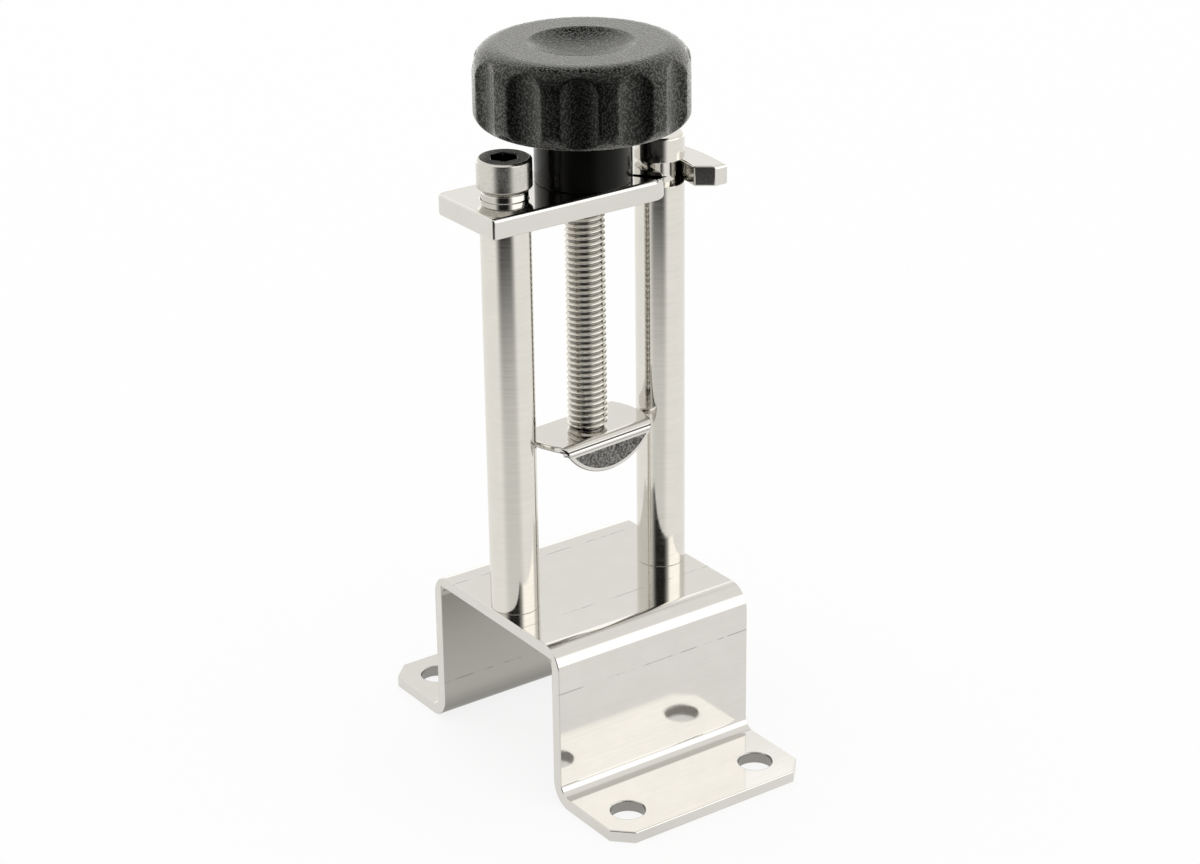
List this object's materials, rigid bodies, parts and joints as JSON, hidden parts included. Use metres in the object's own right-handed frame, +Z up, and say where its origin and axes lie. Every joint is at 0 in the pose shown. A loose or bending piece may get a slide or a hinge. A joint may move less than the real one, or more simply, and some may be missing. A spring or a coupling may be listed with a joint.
{
  "type": "chain fairlead",
  "caption": "Deck-mounted chain fairlead: a folded steel base with two posts, a swing-over bar and a knob-driven spindle that clamps the chain.",
  "frame": {"origin": "centre of the four foot holes, on the underside of the feet", "axes": "+Z up, along the posts and the spindle; +X from the pivot post to the latch post; the chain runs along Y"},
  "size_m": [0.0677, 0.1036, 0.1789],
  "materials": {
    "polished_stainless": "mirror polished stainless sheet",
    "satin_stainless": "satin turned stainless bar",
    "polished_bar": "polished stainless flat bar",
    "bright_stainless": "bright rolled stainless",
    "polished_pad": "polished stainless sheet",
    "stainless_fasteners": "satin stainless",
    "black_knob": "fine grained black moulding"
  },
  "bodies": {
    "base": {"base_bracket": "polished_stainless", "pivot_post": "satin_stainless", "latch_post": "satin_stainless", "post_screws": "stainless_fasteners", "pivot_sleeve": "bright_stainless", "pivot_screw": "stainless_fasteners"},
    "bar": {"swing_bar": "polished_bar"},
    "pad": {"pressure_pad": "polished_pad", "pad_washer": "stainless_fasteners"},
    "spindle": {"spindle": "bright_stainless", "knob_body": "black_knob", "knob_insert": "stainless_fasteners", "retaining_ring": "stainless_fasteners"}
  },
  "joints": [
    {"name": "bar_swing", "type": "hinge", "parent": "base", "child": "bar", "pos_m": [-0.022, 0, 0.1435], "axis": [0, 0, 1], "range_deg": [0, 335]},
    {"name": "pad_lift", "type": "slide", "parent": "bar", "child": "pad", "axis": [0, 0, 1], "range_m": [0, 0.057]},
    {"name": "knob_spin", "type": "hinge", "parent": "pad", "child": "spindle", "pos_m": [0, 0, 0.1], "axis": [0, 0, 1], "range_deg": [0, 13680]}
  ],
  "couplings": [
    {"joint": "pad_lift", "follows": "knob_spin", "m_per_rad": 0.00023873}
  ]
}
